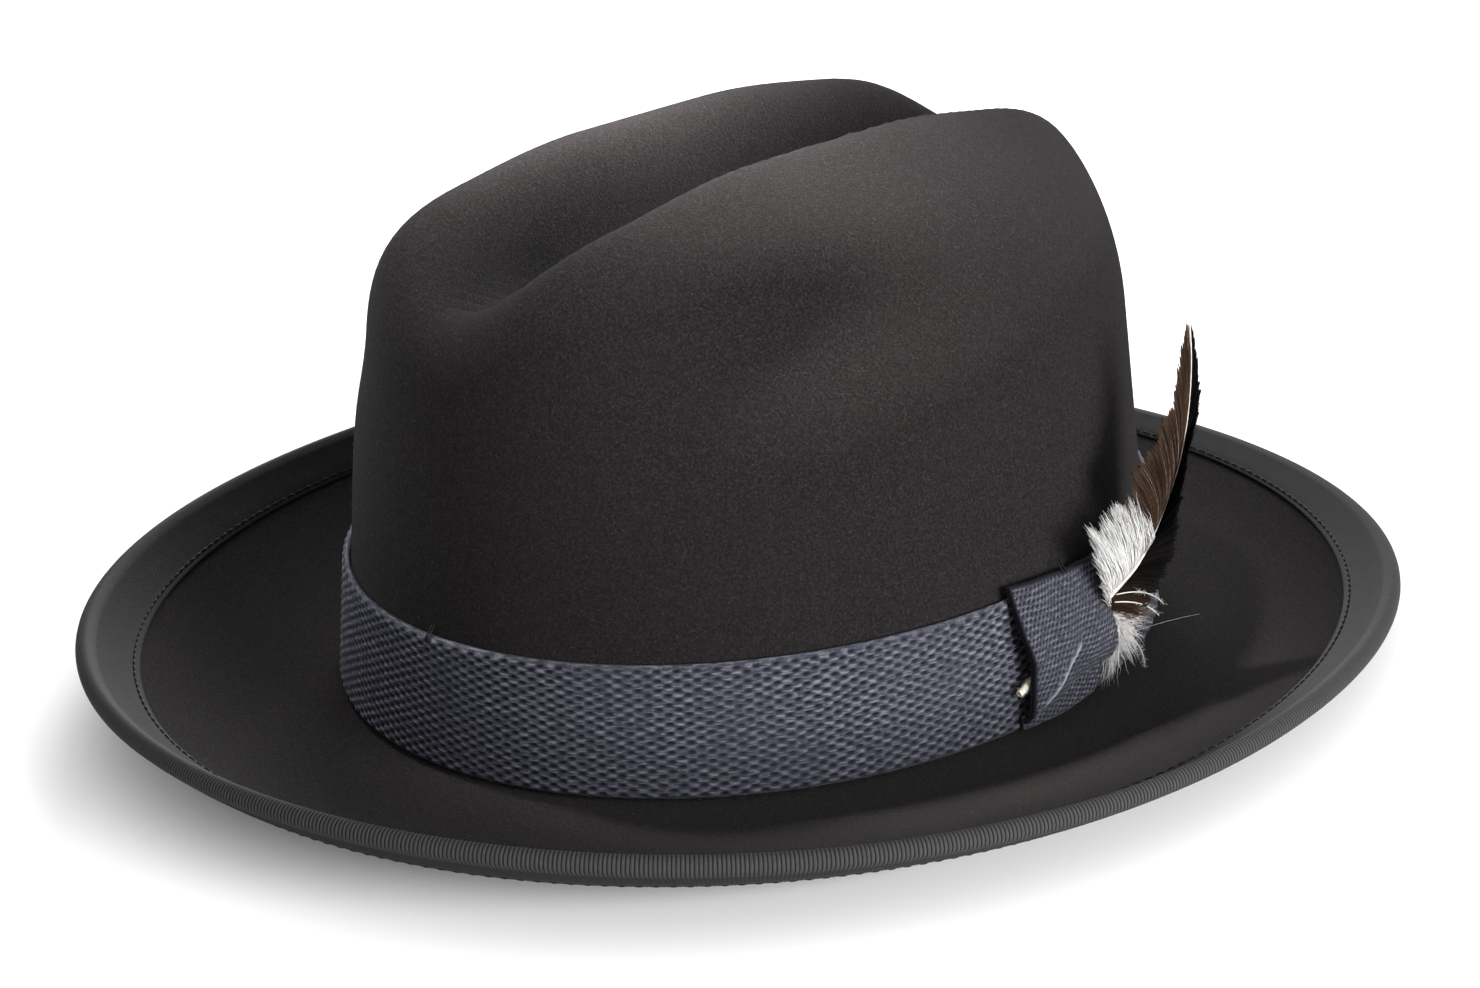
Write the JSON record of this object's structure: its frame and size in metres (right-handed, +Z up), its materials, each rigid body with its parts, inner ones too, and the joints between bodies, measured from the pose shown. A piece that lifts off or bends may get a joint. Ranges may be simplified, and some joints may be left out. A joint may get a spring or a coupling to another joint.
{
  "type": "fedora hat",
  "caption": "Fur-felt fedora with a creased and pinched crown, a curled bound brim, a webbing band and a feather that slides out of its knot.",
  "frame": {"origin": "under the middle of the brim, on the surface the hat stands on", "axes": "-Y to the front of the hat, +X to the wearer's left, where the knot and feather are, +Z up"},
  "size_m": [0.2892, 0.322, 0.1204],
  "materials": {
    "felt": "soft brushed fur felt",
    "binding_ribbon": "ribbed ribbon",
    "webbing": "woven cotton webbing",
    "thread": "spun thread",
    "quill": "smooth horn-like quill",
    "brown_barbs": "feather barbs",
    "black_barbs": "feather barbs",
    "white_down": "loose down",
    "leather": "smooth grained leather",
    "reed": "matte",
    "satin": "satin",
    "clear_film": "clear film",
    "paper": "matt paper"
  },
  "bodies": {
    "hat": {"felt_body": "felt", "brim_binding": "binding_ribbon", "binding_top_stitch": "thread", "binding_under_stitch": "thread", "hatband": "webbing", "bow_knot": "webbing", "bow_tail": "webbing", "band_tack_front": "thread", "band_tack_right": "thread", "band_tack_back": "thread", "bow_tack": "thread", "sweatband": "leather", "sweatband_reed": "reed", "reed_tape": "binding_ribbon", "sweatband_stitch": "thread", "sweatband_back_tape": "binding_ribbon", "sweatband_bow_loop": "binding_ribbon", "sweatband_bow_knot": "binding_ribbon", "lining_side": "satin", "lining_tip": "satin", "lining_piping": "satin", "lining_shield": "clear_film", "size_tag": "paper"},
    "feather": {"feather_shaft": "quill", "feather_brown_vane": "brown_barbs", "feather_black_vane": "black_barbs", "feather_upper_down": "white_down", "feather_lower_down": "white_down"}
  },
  "joints": [
    {"name": "feather_slide", "type": "slide", "parent": "hat", "child": "feather", "axis": [-0.0411, 0.9547, 0.2946], "range_m": [0, 0.03]}
  ]
}
